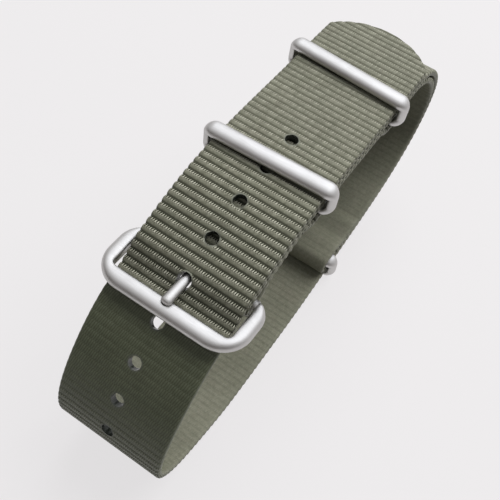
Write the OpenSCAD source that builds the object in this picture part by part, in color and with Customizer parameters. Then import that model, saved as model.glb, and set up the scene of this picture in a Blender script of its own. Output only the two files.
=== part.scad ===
// Slip-through webbing watch strap, closed and buckled.
// Long strap, short inner strap, buckle frame with its tongue, two keepers and the end ring.
// X runs along the loop towards its far end, Y across the webbing and Z up.
// The loop lies on its back run. Its origin is the middle of its length, on the surface it lies on.

/* [Webbing] */
// Width of the webbing, which is the gap between the watch's lugs
strap_w = 20; // [16:0.5:24]
// Thickness of one layer of webbing
strap_t = 1.2; // [1.0:0.05:1.4]
// Room between two layers that lie on each other
layer_gap = 0.15; // [0.1:0.05:0.3]
// Diameter of the adjustment holes
hole_d = 2.2; // [1.9:0.1:2.6]
// Distance from one adjustment hole to the next, along the strap
hole_pitch = 7.05; // [6:0.05:8]
// Holes past the tongue's, towards the tip
holes_to_tip = 4; // [1:1:4]
// Holes before the tongue's, down the near end
holes_to_back = 4; // [1:1:4]
// Distance from the buckle's rear bar to the tip of the tail
tail_reach = 60; // [56:0.5:62]
// Radius of the tip's shallow arc
tip_r = 12; // [12:0.5:30]

/* [Loop] */
// Length of the closed loop
loop_l = 92; // [84:1:104]
// Height of the closed loop over its outer faces, without the tail
loop_h = 42.5; // [39:0.5:48]

/* [Buckle] */
// Width of the frame across the strap
frame_w = 25.6; // [25:0.1:30]
// Width of the front bar, which the tongue rests on
front_bar_w = 2.8; // [2.6:0.1:3.6]
// Thickness of the frame, and diameter of its rear bar
frame_t = 1.8; // [1.6:0.05:2.0]
// Distance from the rear bar to the middle of the front bar
frame_reach = 8.6; // [8.4:0.1:9.6]
// Radius of the frame's outer corners at the front bar
front_corner_r = 5.2; // [4:0.1:6]
// Radius of the frame's outer corners at the rear bar
rear_corner_r = 3.2; // [2:0.1:3.6]
// Diameter of the tongue
tongue_d = 1.7; // [1.4:0.05:1.8]
// Width of the tongue's eye on the rear bar
eye_w = 2.6; // [2:0.1:3.4]
// Distance from the rear bar to the hole that the tongue comes through
tongue_hole_reach = 2.7; // [2.5:0.1:3.1]

/* [Rings] */
// Length of a ring across the strap, outside
ring_l = 23.8; // [23.6:0.1:28]
// Width of a ring's bar, along the strap
ring_bar_w = 3.2; // [2.6:0.1:3.6]
// Thickness of a ring's bar
ring_bar_t = 1.4; // [1.2:0.05:1.6]
// Sideways shift of the two keepers on the strap
keeper_shift = 0.2; // [-0.3:0.1:0.3]
// Sideways shift of the end ring
end_ring_shift = 0.3; // [-0.3:0.1:0.3]
// Turn of the keeper next to the buckle, which sits a little askew on the strap
near_keeper_turn = 2; // [-3:0.5:3]
// Turn of the upper keeper, which sits askew the other way
far_keeper_turn = -3; // [-3:0.5:3]
// Distance from the rear bar to the keeper next to the buckle
near_keeper_at = 19.6; // [19:0.1:22]
// Distance from the rear bar to the upper keeper
far_keeper_at = 44.6; // [43:0.1:46]
// Distance round the loop from the rear bar to the end ring
end_ring_at = 125; // [123:0.5:127]

/* [Fits] */
// Room between a ring's bar and the webbing
ring_clear = 0.25; // [0.22:0.01:0.35]
// Room between the front bar and the webbing under it
bar_clear = 0.3; // [0.25:0.01:0.4]
// Room between webbing and the bar that it is folded round
fold_clear = 0.1; // [0.08:0.01:0.2]
// Radial clearance of the tongue's eye on the rear bar
eye_clear = 0.06; // [0.03:0.01:0.1]
// Room between a metal piece's side and the webbing's edge
side_clear = 0.4; // [0.3:0.05:0.5]
// Depth that welded layers melt into each other
weld_depth = 0.1; // [0.05:0.01:0.15]

/* [Hidden] */
$fn = 48;
webbing_colour = [0.47, 0.47, 0.38];
steel_colour = [0.78, 0.77, 0.75];

// The loop's form: control points of a smooth closed curve, chosen by hand for a loop of 92 by 42.5.
// The curve is the outer face of the strap, from the near end over the front run, down the far end
// and back along the stretch that it lies on, where four points in line make it flat.
form_box = [92, 42.5];
form = [
    [-41, 28], [-34, 35], [-25.5, 38], [-13, 42.5], [1.5, 42.5], [15.5, 41.5], [27.5, 41.5], [35.5, 40.2],
    [45, 31], [47, 22.5], [44, 13], [35, 6.5], [22, 3.7], [8, 1.4], [-2, 0], [-10, 0], [-18, 0],
    [-26, 0], [-34, 3], [-41, 5.5], [-46.5, 12], [-46, 20]
];
form_n = len(form);
span_steps = 8;
steps = form_n * span_steps;
function ctrl(i) = [form[i % form_n][0] * loop_l / form_box[0], form[i % form_n][1] * loop_h / form_box[1]];
function curve_at(i, f) = ((1 - f) ^ 3 * ctrl(i) + (3 * f ^ 3 - 6 * f ^ 2 + 4) * ctrl(i + 1)
    + (-3 * f ^ 3 + 3 * f ^ 2 + 3 * f + 1) * ctrl(i + 2) + f ^ 3 * ctrl(i + 3)) / 6;
function slope_at(i, f) = (-(1 - f) ^ 2 * ctrl(i) + (3 * f ^ 2 - 4 * f) * ctrl(i + 1)
    + (-3 * f ^ 2 + 2 * f + 1) * ctrl(i + 2) + f ^ 2 * ctrl(i + 3)) / 2;
function step_point(k) = curve_at(floor(k / span_steps), k / span_steps - floor(k / span_steps));
// Length along the curve at each step
lengths = [for (k = 0, s = 0; k <= steps; s = s + norm(step_point(k + 1) - step_point(k)), k = k + 1) [s, k]];
loop_len = lengths[steps][0];

// Distances round the loop are counted from the buckle's rear bar, towards the far end
rear_bar_start = 10.8 * loop_l / form_box[0];
function wrapped(u) = (u + rear_bar_start) - loop_len * floor((u + rear_bar_start) / loop_len);
function step_of(u) = min(lookup(wrapped(u), lengths), steps - 0.000001) / span_steps;
function on_loop(u) = curve_at(floor(step_of(u)), step_of(u) - floor(step_of(u)));
function along(u) = let (d = slope_at(floor(step_of(u)), step_of(u) - floor(step_of(u)))) d / norm(d);
function outward(u) = [-along(u)[1], along(u)[0]];
function heading(u) = atan2(along(u)[1], along(u)[0]);
// Point at a distance off the curve, positive outside the loop
function off_loop(u, off) = on_loop(u) + outward(u) * off;

// The middle of the loop's length is brought to X = 0
loop_xs = [for (k = [0:steps - 1]) step_point(k)[0]];
mid_x = (min(loop_xs) + max(loop_xs)) / 2;

// Smooth step from 0 at a to 1 at b
function ease(a, b, u) = let (f = max(0, min(1, (u - a) / (b - a)))) f * f * (3 - 2 * f);
// 1 between a and b, with ramps of length r on both sides
function hump(a, b, r, u) = ease(a - r, a, u) * (1 - ease(b, b + r, u));

// Rear bar and the long strap's fold round it
rear_bar_r = frame_t / 2;
fold_in_r = rear_bar_r + fold_clear;
fold_out_r = fold_in_r + strap_t;
rear_bar_c = off_loop(0, -fold_out_r);

// The front bar lies on the strap that goes under it, at the frame's reach from the rear bar
front_tilt = 26;
bar_relief = 0.3;
bar_off = bar_clear + front_bar_w / 2 * sin(front_tilt) + frame_t / 2 * cos(front_tilt) - bar_relief;
function front_bar_at(u) = off_loop(u, bar_off);
function find_front(lo, hi, n) = n == 0 ? (lo + hi) / 2
    : norm(front_bar_at((lo + hi) / 2) - rear_bar_c) > frame_reach
        ? find_front((lo + hi) / 2, hi, n - 1) : find_front(lo, (lo + hi) / 2, n - 1);
front_u = find_front(-frame_reach - 3, -2, 24);
front_bar_c = front_bar_at(front_u);
frame_turn = atan2(rear_bar_c[1] - front_bar_c[1], rear_bar_c[0] - front_bar_c[0]);

// Webbing is drawn from stations: [middle point, unit normal], with f as the middle's distance off the curve
web_step = 1.5;
fine_step = 0.8;
near_by = 0.02;
// Stations after a and before b
function web(a, b, step, f) = let (n = max(2, ceil(abs(b - a) / step))) [for (i = [1:n - 1])
    let (u = a + (b - a) * i / n, d = off_loop(u + near_by, f(u + near_by)) - off_loop(u - near_by, f(u - near_by)))
        [off_loop(u, f(u)), [-d[1], d[0]] / norm(d)]];
// A station square to the loop, where two runs join
function square_end(u, off) = [off_loop(u, off), outward(u)];
// Half a turn round a point c, from the lower to the upper side, for a fold that opens towards turn
function half_turn(c, r, turn, n = 12) = [for (i = [0:n])
    let (a = turn - 90 - 180 * i / n, d = [cos(a), sin(a)]) [c + d * r, d]];

module across(w, y = 0) {
    translate([-mid_x, y, 0])
        rotate([90, 0, 0])
            linear_extrude(height = w, center = true)
                children();
}

module webbing(st, t = strap_t) {
    polygon(concat([for (e = st) e[0] + e[1] * t / 2], [for (i = [len(st) - 1:-1:0]) st[i][0] - st[i][1] * t / 2]));
}

// Places a piece at a distance round the loop: its X along the strap and its Z outwards
module seat(u, off = 0) {
    p = off_loop(u, off);
    translate([p[0] - mid_x, 0, p[1]])
        rotate([0, -heading(u), 0])
            children();
}

// Places a piece on the rear bar, with its X in the frame's plane and away from the front bar
module on_rear_bar() {
    translate([rear_bar_c[0] - mid_x, 0, rear_bar_c[1]])
        rotate([0, -frame_turn, 0])
            children();
}

// Long strap: a flap folded round the rear bar and welded under the run, then the run round the loop
flap_len = 13;
flap_weld = 5;
flap_start = 0.5;
tail_join = front_u + front_bar_w / 2 + 0.2;
tail_on_top = -0.3;
tail_off = layer_gap + strap_t / 2;
run_off = -strap_t / 2;
function tail_mid(u) = run_off + (tail_off - run_off) * ease(tail_join + flap_start, tail_on_top, u);
flap_off = -strap_t * 1.5 + weld_depth;
fold_low_off = -fold_out_r - fold_in_r - strap_t / 2;
function flap_mid(u) = fold_low_off + (flap_off - fold_low_off) * ease(flap_start, flap_weld, u);
tongue_hole_u = -tongue_hole_reach;

module flap() {
    webbing(concat([square_end(0, fold_low_off)], web(0, flap_len, fine_step, function (u) flap_mid(u)),
        [square_end(flap_len, flap_off)]));
}

module fold_and_runs() {
    end_u = loop_len + tail_join;
    webbing(concat(half_turn(rear_bar_c, fold_in_r + strap_t / 2, heading(0)),
        web(0, end_u, web_step, function (u) run_off), [square_end(end_u, run_off)]));
}

// Past the upper keeper the tail leaves the loop and runs straight on
tail_free = far_keeper_at + 6.4;
tail_end = off_loop(tail_free, tail_off) + along(tail_free) * (tail_reach - tail_free);

module tail() {
    webbing(concat([square_end(tail_join, run_off)], web(tail_join, tail_free, web_step, function (u) tail_mid(u)),
        [square_end(tail_free, tail_off), [tail_end, outward(tail_free)]]));
}

module round_hole(u, off) {
    seat(u, off)
        cylinder(d = hole_d, h = 2 * strap_t, center = true);
}

module long_strap() {
    color(webbing_colour) {
        difference() {
            union() {
                across(strap_w) flap();
                across(strap_w) fold_and_runs();
            }
            for (i = [1:holes_to_back])
                round_hole(tongue_hole_u - i * hole_pitch + loop_len, -strap_t / 2);
            // Slot in the fold for the tongue's eye
            on_rear_bar()
                translate([-2 * fold_out_r, -slot_w / 2, -2 * fold_out_r])
                    cube([2 * fold_out_r + eye_out_r + side_clear, slot_w, 4 * fold_out_r]);
        }
        difference() {
            across(strap_w) tail();
            for (i = [0:holes_to_tip])
                round_hole(tongue_hole_u + i * hole_pitch, i == 0 ? tail_mid(tongue_hole_u) : tail_off);
            // The webbing gives way along the tongue
            tongue_path(tongue_d / 2 + tongue_play);
            tip_cutter();
        }
    }
}

slot_w = eye_w + 2 * side_clear;

module tip_cutter() {
    cut = strap_w + 2;
    translate([tail_end[0] - mid_x, 0, tail_end[1]])
        rotate([0, -heading(tail_free), 0])
        difference() {
            translate([-tip_r, -cut / 2, -3 * strap_t])
                cube([2 * tip_r, cut, 6 * strap_t]);
            translate([-tip_r, 0, 0])
                cylinder(r = tip_r, h = 8 * strap_t, center = true, $fn = 96);
            translate([-2 * tip_r, -cut / 2, -4 * strap_t])
                cube([2 * tip_r - tip_sagitta - 0.4, cut, 8 * strap_t]);
        }
}
tip_sagitta = tip_r - sqrt(tip_r ^ 2 - (strap_w / 2) ^ 2);

// Short strap: welded under the long strap on both sides of each keeper, then free inside the loop,
// with its end folded round the end ring's inner bar
short_start = 13.6;
bar_room = ring_bar_t + 2 * ring_clear;
ramp = 3.6;
ramp_room = 0.4;
ring_half = ring_bar_w / 2 + ramp_room;
end_weld_reach = 9;
end_weld_len = 3;
end_weld_out = end_ring_at - end_weld_reach;
end_weld_in = end_weld_out + end_weld_len;
free_ramp = 6;
function keeper_room(u) = bar_room * (hump(near_keeper_at - ring_half, near_keeper_at + ring_half, ramp, u)
    + hump(far_keeper_at - ring_half, far_keeper_at + ring_half, ramp, u));
last_weld_len = 3;
free_from = far_keeper_at + ring_half + ramp + last_weld_len;
free_gap = 0.3;
function short_gap(u) = keeper_room(u) - weld_depth + (free_gap + weld_depth) * ease(free_from, free_from + free_ramp, u)
    + (strap_t - weld_depth) * ease(end_weld_out - end_weld_len, end_weld_out, u)
    + (bar_room + weld_depth) * ease(end_weld_in, end_ring_at - ring_half + 0.5, u);
function short_mid(u) = -1.5 * strap_t - short_gap(u);
return_mid = -1.5 * strap_t - free_gap;
end_fold_u = end_ring_at + ring_bar_w / 2 - ring_bar_t / 2 + ring_clear;
end_bar_off = return_mid - strap_t / 2 - ring_clear - ring_bar_t / 2;
end_fold_r = ring_bar_t / 2 + ring_clear + strap_t / 2;

module short_run() {
    webbing(concat([square_end(short_start, short_mid(short_start))],
        web(short_start, end_fold_u, fine_step, function (u) short_mid(u)),
        [square_end(end_fold_u, end_bar_off - end_fold_r)]));
}

module short_end() {
    // From the weld along the long strap to the ring's bar and round it, to the short run's end
    arc = half_turn(off_loop(end_fold_u, end_bar_off), end_fold_r, heading(end_fold_u) + 180);
    webbing(concat([square_end(end_weld_out, return_mid)],
        web(end_weld_out, end_fold_u, web_step, function (u) return_mid), arc));
}

module short_strap() {
    color(webbing_colour) {
        across(strap_w) short_run();
        across(strap_w) short_end();
    }
}

// Buckle
frame_inner_w = strap_w + 2 * side_clear;
inner_corner_r = 0.8;

module corner_disc(x, y, r) {
    translate([x, y])
        circle(r = r);
}

module frame_outline() {
    front = -frame_reach - front_bar_w / 2;
    half = frame_w / 2;
    for (side = [-1, 1]) {
        corner_disc(front + front_corner_r, side * (half - front_corner_r), front_corner_r);
        corner_disc(rear_bar_r - rear_corner_r, side * (half - rear_corner_r), rear_corner_r);
    }
    translate([front, -half + front_corner_r])
        square([frame_reach, frame_w - 2 * front_corner_r]);
    translate([front + front_corner_r, -half])
        square([-front - front_corner_r + rear_bar_r - rear_corner_r, frame_w]);
    translate([-rear_corner_r, -half + rear_corner_r])
        square([rear_corner_r + rear_bar_r, frame_w - 2 * rear_corner_r]);
}

module frame_opening() {
    front = -frame_reach + front_bar_w / 2;
    half = frame_inner_w / 2;
    for (side = [-1, 1])
        corner_disc(front + inner_corner_r, side * (half - inner_corner_r), inner_corner_r);
    translate([front, -half + inner_corner_r])
        square([frame_reach, frame_inner_w - 2 * inner_corner_r]);
    translate([front + inner_corner_r, -half])
        square([frame_reach, frame_inner_w]);
}

module buckle_frame() {
    color(steel_colour)
        difference() {
            on_rear_bar() {
                difference() {
                    linear_extrude(height = frame_t, center = true)
                        difference() {
                            frame_outline();
                            frame_opening();
                        }
                    // Notch that the tongue's tip lies in
                    tongue_notch();
                }
                rotate([90, 0, 0])
                    cylinder(r = rear_bar_r, h = frame_inner_w + 1, center = true);
            }
            // Relief under the front bar, where the webbing comes up behind it
            seat(front_u, bar_clear)
                translate([-front_bar_w, -relief_w / 2, -2 * frame_t])
                    cube([3 * front_bar_w, relief_w, 2 * frame_t]);
        }
}

relief_w = strap_w + side_clear;

// Tongue
tongue_play = 0.4;
tongue_rise = 1.2;
eye_in_r = rear_bar_r + eye_clear;
eye_out_r = tongue_rise + tongue_d / 2 - 0.05;
tip_on_bar = 1.3;
tongue_tip = frame_reach - front_bar_w / 2 + tip_on_bar;
notch_play = 0.15;

// The tongue's straight shank, at a radius, in its own place
module tongue_path(r) {
    on_rear_bar()
        translate([-tongue_tip, 0, tongue_rise])
            rotate([0, 90, 0])
                cylinder(r = r, h = tongue_tip - tongue_d / 2);
}

module tongue_notch() {
    translate([-tongue_tip + tongue_d / 2, 0, tongue_rise]) {
        rotate([0, 90, 0])
            cylinder(r = tongue_d / 2 + notch_play, h = front_bar_w);
        sphere(r = tongue_d / 2 + notch_play);
    }
}

module tongue() {
    color(steel_colour)
        on_rear_bar()
            difference() {
                union() {
                    rotate([90, 0, 0])
                        cylinder(r = eye_out_r, h = eye_w, center = true);
                    translate([-tongue_tip + tongue_d / 2, 0, tongue_rise])
                        rotate([0, 90, 0])
                            cylinder(d = tongue_d, h = tongue_tip - tongue_d / 2);
                    translate([-tongue_tip + tongue_d / 2, 0, tongue_rise])
                        sphere(d = tongue_d);
                }
                rotate([90, 0, 0])
                    cylinder(r = eye_in_r, h = eye_w + 2, center = true);
            }
}

// Rings: a crowned flat bar bent to an oblong with rounded corners
ring_corner_in = 0.5;
bar_edge_r = 0.3;
bar_crown = 0.4;
crown_r = ((ring_bar_w / 2) ^ 2 + bar_crown ^ 2) / (2 * bar_crown);

module rounded_oblong(l, h, r) {
    for (sx = [-1, 1], sy = [-1, 1])
        corner_disc(sx * (l / 2 - r), sy * (h / 2 - r), r);
    square([l - 2 * r, h], center = true);
    square([l, h - 2 * r], center = true);
}

// The bar's section: its flat face inside, its crown outside
module bar_section() {
    intersection() {
        translate([0, ring_bar_t / 2])
            rounded_oblong(ring_bar_w, ring_bar_t, bar_edge_r);
        translate([0, ring_bar_t - crown_r])
            circle(r = crown_r);
    }
}

module straight_bar(at, l) {
    translate([0, 0, at])
        rotate([90, 0, 0])
            linear_extrude(height = l, center = true)
                bar_section();
}

// Inside height takes two layers of webbing, the room between them and the room to the bars
module ring(gap) {
    half_h = strap_t + gap / 2 + ring_clear;
    half_l = ring_l / 2 - ring_bar_t;
    for (a = [0, 180])
        rotate([a, 0, 0]) {
            straight_bar(half_h, 2 * (half_l - ring_corner_in));
            rotate([-90, 0, 0])
                straight_bar(half_l, 2 * (half_h - ring_corner_in));
        }
    for (m = [0, 1], n = [0, 1])
        mirror([0, m, 0])
            mirror([0, 0, n])
                translate([0, half_l - ring_corner_in, half_h - ring_corner_in])
                    rotate([90, 0, 90])
                        rotate_extrude(angle = 90)
                            translate([ring_corner_in, 0])
                                rotate(-90)
                                    bar_section();
}

module keeper(u, turn) {
    seat(u, layer_gap / 2)
        translate([0, keeper_shift, 0])
            rotate([0, 0, turn])
                ring(layer_gap);
}

module near_keeper() {
    color(steel_colour) keeper(near_keeper_at, near_keeper_turn);
}

module far_keeper() {
    color(steel_colour) keeper(far_keeper_at, far_keeper_turn);
}

module end_ring() {
    color(steel_colour)
        seat(end_ring_at, -strap_t - free_gap / 2)
            translate([0, end_ring_shift, 0])
                ring(free_gap);
}

long_strap();
short_strap();
buckle_frame();
tongue();
near_keeper();
far_keeper();
end_ring();
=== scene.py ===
import math
from bisect import bisect_right

import bmesh
import bpy
from mathutils import Matrix, Vector


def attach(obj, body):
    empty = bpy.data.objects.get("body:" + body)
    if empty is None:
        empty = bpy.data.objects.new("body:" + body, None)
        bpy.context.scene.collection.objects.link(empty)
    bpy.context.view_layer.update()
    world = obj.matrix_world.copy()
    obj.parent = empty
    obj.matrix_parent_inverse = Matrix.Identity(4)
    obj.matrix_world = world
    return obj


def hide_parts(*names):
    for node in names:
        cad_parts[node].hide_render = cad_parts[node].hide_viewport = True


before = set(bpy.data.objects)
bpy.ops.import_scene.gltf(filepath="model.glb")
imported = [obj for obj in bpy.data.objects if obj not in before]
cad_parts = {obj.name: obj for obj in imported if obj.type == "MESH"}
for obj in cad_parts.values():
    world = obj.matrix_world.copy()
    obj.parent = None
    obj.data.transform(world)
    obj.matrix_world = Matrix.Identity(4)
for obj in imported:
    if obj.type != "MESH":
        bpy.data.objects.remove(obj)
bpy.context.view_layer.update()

# Lengths are in millimetres until a piece is finished, and the part's own values come first.
MM = 0.001
STRAP_W, STRAP_T, LAYER_GAP = 20.0, 1.2, 0.15
HOLE_D, HOLE_PITCH, HOLES_EACH_WAY = 2.2, 7.05, 4
TAIL_REACH, TIP_R = 60.0, 12.0
FRAME_W, FRONT_BAR_W, FRAME_T, FRAME_REACH = 25.6, 2.8, 1.8, 8.6
FRONT_CORNER_R, REAR_CORNER_R, INNER_CORNER_R = 5.2, 3.2, 0.8
TONGUE_D, EYE_W, TONGUE_HOLE_REACH, TONGUE_RISE, TIP_ON_BAR = 1.7, 2.6, 2.7, 1.2, 1.3
RING_L, RING_BAR_W, RING_BAR_T, RING_CORNER_IN = 23.8, 3.2, 1.4, 0.5
NEAR_KEEPER_AT, FAR_KEEPER_AT, END_RING_AT = 19.6, 44.6, 125.0
KEEPER_SHIFT, END_RING_SHIFT, NEAR_KEEPER_TURN, FAR_KEEPER_TURN = 0.2, 0.3, 2.0, -3.0
RING_CLEAR, BAR_CLEAR, FOLD_CLEAR, EYE_CLEAR, SIDE_CLEAR, WELD_DEPTH = 0.25, 0.3, 0.1, 0.06, 0.4, 0.1
RIB_PITCH, YARN_PITCH = 1.334, 0.39
# From the rear bar to the tongue's tip, and from the strap's middle line to the frame's inner edge
TONGUE_REACH = FRAME_REACH - FRONT_BAR_W / 2 + TIP_ON_BAR
HALF_IN = STRAP_W / 2 + SIDE_CLEAR

# ---------------------------------------------------------------- the loop that the webbing follows
# The loop's control points as seen from the side, in order round the loop, as in the part's source
FORM = (
    (-41, 28), (-34, 35), (-25.5, 38), (-13, 42.5), (1.5, 42.5), (15.5, 41.5), (27.5, 41.5), (35.5, 40.2),
    (45, 31), (47, 22.5), (44, 13), (35, 6.5), (22, 3.7), (8, 1.4), (-2, 0), (-10, 0), (-18, 0),
    (-26, 0), (-34, 3), (-41, 5.5), (-46.5, 12), (-46, 20))
SPAN_STEPS = 8
REAR_BAR_START = 10.8


def spline(i, weights):
    """Weighted sum of the four control points from i on."""
    total = Vector((0.0, 0.0))
    for k, weight in enumerate(weights):
        total += Vector(FORM[(i + k) % len(FORM)]) * weight
    return total


def curve_at(i, f):
    """Point on span i of the closed cubic spline, at part f of the span."""
    return spline(i, ((1 - f) ** 3 / 6, (3 * f ** 3 - 6 * f ** 2 + 4) / 6,
                      (-3 * f ** 3 + 3 * f ** 2 + 3 * f + 1) / 6, f ** 3 / 6))


def slope_at(i, f):
    return spline(i, (-(1 - f) ** 2 / 2, (3 * f ** 2 - 4 * f) / 2, (-3 * f ** 2 + 2 * f + 1) / 2, f ** 2 / 2))


STEP_POINTS = [curve_at(k // SPAN_STEPS, k % SPAN_STEPS / SPAN_STEPS)
               for k in range(len(FORM) * SPAN_STEPS + 1)]
STEP_LENGTHS = [0.0]
for k in range(len(STEP_POINTS) - 1):
    STEP_LENGTHS.append(STEP_LENGTHS[-1] + (STEP_POINTS[k + 1] - STEP_POINTS[k]).length)
LOOP_LEN = STEP_LENGTHS[-1]
MID_X = (min(p.x for p in STEP_POINTS) + max(p.x for p in STEP_POINTS)) / 2


def span_of(u):
    """Span and part of it at a length along the loop, measured from the rear bar towards the keepers."""
    s = (u + REAR_BAR_START) % LOOP_LEN
    k = min(max(bisect_right(STEP_LENGTHS, s) - 1, 0), len(STEP_LENGTHS) - 2)
    t = (k + (s - STEP_LENGTHS[k]) / (STEP_LENGTHS[k + 1] - STEP_LENGTHS[k])) / SPAN_STEPS
    return int(t), t - int(t)


def along(u):
    return slope_at(*span_of(u)).normalized()


def heading(u):
    return math.atan2(along(u).y, along(u).x)


def off_loop(u, off):
    """Point at a distance off the webbing's outer face, positive outside the loop."""
    d = along(u)
    return curve_at(*span_of(u)) + Vector((-d.y, d.x)) * off


def ease(a, b, u):
    """Rises smoothly from 0 at a to 1 at b."""
    f = max(0.0, min(1.0, (u - a) / (b - a)))
    return f * f * (3 - 2 * f)


def hump(a, b, r, u):
    """1 between a and b, with ramps of length r on both sides."""
    return ease(a - r, a, u) * (1 - ease(b, b + r, u))


# Rear bar, fold and front bar
REAR_BAR_R = FRAME_T / 2
FOLD_IN_R = REAR_BAR_R + FOLD_CLEAR
FOLD_OUT_R = FOLD_IN_R + STRAP_T
REAR_BAR_C = off_loop(0, -FOLD_OUT_R)
FRONT_TILT = math.radians(26)
BAR_RELIEF = 0.3
BAR_OFF = (BAR_CLEAR + FRONT_BAR_W / 2 * math.sin(FRONT_TILT) + FRAME_T / 2 * math.cos(FRONT_TILT)
           - BAR_RELIEF)
# Halving steps find the place on the loop that is the frame's reach away from the rear bar
HALVINGS = 24
low_u, high_u = -FRAME_REACH - 3, -2.0
for _ in range(HALVINGS):
    mid_u = (low_u + high_u) / 2
    if (off_loop(mid_u, BAR_OFF) - REAR_BAR_C).length > FRAME_REACH:
        low_u = mid_u
    else:
        high_u = mid_u
FRONT_U = (low_u + high_u) / 2
frame_line = REAR_BAR_C - off_loop(FRONT_U, BAR_OFF)
FRAME_TURN = math.atan2(frame_line.y, frame_line.x)


def seat(u, off=0.0):
    """Place on the loop: X along the strap, Y across it and Z outwards."""
    p = off_loop(u, off)
    return Matrix.Translation((p.x - MID_X, 0, p.y)) @ Matrix.Rotation(-heading(u), 4, "Y")


# Place on the rear bar: X from the front bar back, Y along the rear bar and Z outwards
ON_REAR_BAR = (Matrix.Translation((REAR_BAR_C.x - MID_X, 0, REAR_BAR_C.y))
               @ Matrix.Rotation(-FRAME_TURN, 4, "Y"))

# ---------------------------------------------------------------- the two lengths of webbing
# Offsets are those of the webbing's middle line from the loop, negative inside it
FLAP_LEN, FLAP_START, FLAP_LANDS = 13.0, 0.5, 5
TAIL_JOIN = FRONT_U + FRONT_BAR_W / 2 + 0.2
TAIL_ON_TOP = -0.3
TAIL_OFF = LAYER_GAP + STRAP_T / 2
RUN_OFF = -STRAP_T / 2
FLAP_OFF = -STRAP_T * 1.5 + WELD_DEPTH
FOLD_LOW_OFF = -FOLD_OUT_R - FOLD_IN_R - STRAP_T / 2


def tail_mid(u):
    """The tail, which climbs from behind the front bar over the rear bar."""
    return RUN_OFF + (TAIL_OFF - RUN_OFF) * ease(TAIL_JOIN + FLAP_START, TAIL_ON_TOP, u)


def flap_mid(u):
    """The flap, which comes back from the fold and is welded under the strap."""
    return FOLD_LOW_OFF + (FLAP_OFF - FOLD_LOW_OFF) * ease(FLAP_START, FLAP_LANDS, u)


SHORT_START = 13.6
BAR_ROOM = RING_BAR_T + 2 * RING_CLEAR
RAMP, RAMP_ROOM = 3.6, 0.4
RING_HALF = RING_BAR_W / 2 + RAMP_ROOM
END_WELD_REACH, END_WELD_LEN, LAST_WELD_LEN = 9, 3, 3
END_WELD_OUT = END_RING_AT - END_WELD_REACH
END_WELD_IN = END_WELD_OUT + END_WELD_LEN
FREE_GAP, FREE_RAMP = 0.3, 6
FREE_FROM = FAR_KEEPER_AT + RING_HALF + RAMP + LAST_WELD_LEN
RETURN_MID = -1.5 * STRAP_T - FREE_GAP
END_FOLD_U = END_RING_AT + RING_BAR_W / 2 - RING_BAR_T / 2 + RING_CLEAR
END_BAR_OFF = RETURN_MID - STRAP_T / 2 - RING_CLEAR - RING_BAR_T / 2
END_FOLD_R = RING_BAR_T / 2 + RING_CLEAR + STRAP_T / 2


def short_mid(u):
    """The short strap, which makes room for both keepers, hangs free and doubles up near the end ring."""
    keeper_room = BAR_ROOM * (hump(NEAR_KEEPER_AT - RING_HALF, NEAR_KEEPER_AT + RING_HALF, RAMP, u)
                              + hump(FAR_KEEPER_AT - RING_HALF, FAR_KEEPER_AT + RING_HALF, RAMP, u))
    return -1.5 * STRAP_T - (
        keeper_room - WELD_DEPTH + (FREE_GAP + WELD_DEPTH) * ease(FREE_FROM, FREE_FROM + FREE_RAMP, u)
        + (STRAP_T - WELD_DEPTH) * ease(END_WELD_OUT - END_WELD_LEN, END_WELD_OUT, u)
        + (BAR_ROOM + WELD_DEPTH) * ease(END_WELD_IN, END_RING_AT - RING_HALF + 0.5, u))


PATH_STEP, PATH_GAP, STATION_HALF = 0.12, 0.03, 0.15


def stretch(a, b, mid):
    """Points along the loop from a to b, each at the offset that mid gives."""
    n = max(2, round(abs(b - a) / PATH_STEP))
    return [off_loop(a + (b - a) * i / n, mid(a + (b - a) * i / n)) for i in range(n + 1)]


def fold(centre, r, start, n=36):
    """Half a turn round a bar. A positive r turns clockwise and a negative one the other way."""
    turn = -math.pi if r > 0 else math.pi
    return [centre + Vector((math.cos(start + turn * i / n), math.sin(start + turn * i / n))) * abs(r)
            for i in range(n + 1)]


class Path:
    """Middle line of a strip of webbing, measured along its length."""

    def __init__(self, points):
        self.points = [points[0]]
        for p in points[1:]:
            if (p - self.points[-1]).length > PATH_GAP:
                self.points.append(p)
        self.lengths = [0.0]
        for a, b in zip(self.points, self.points[1:]):
            self.lengths.append(self.lengths[-1] + (b - a).length)
        self.length = self.lengths[-1]

    def at(self, s):
        k = min(max(bisect_right(self.lengths, s) - 1, 0), len(self.points) - 2)
        f = (s - self.lengths[k]) / (self.lengths[k + 1] - self.lengths[k])
        return self.points[k].lerp(self.points[k + 1], f)

    def station(self, s):
        """Middle point at s and the direction square to the strip there."""
        a = self.at(max(s - STATION_HALF, 0))
        b = self.at(min(s + STATION_HALF, self.length))
        d = (b - a).normalized()
        return self.at(s), Vector((-d.y, d.x))

    def place_of(self, point):
        """Length at which the path comes closest to a point."""
        return min(zip(self.points, self.lengths), key=lambda e: (e[0] - point).length)[1]


# Past the upper keeper the tail leaves the loop and runs straight on
TAIL_STEPS = 60
TAIL_FREE = FAR_KEEPER_AT + 6.4
TAIL_LEAVES = off_loop(TAIL_FREE, TAIL_OFF)

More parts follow.
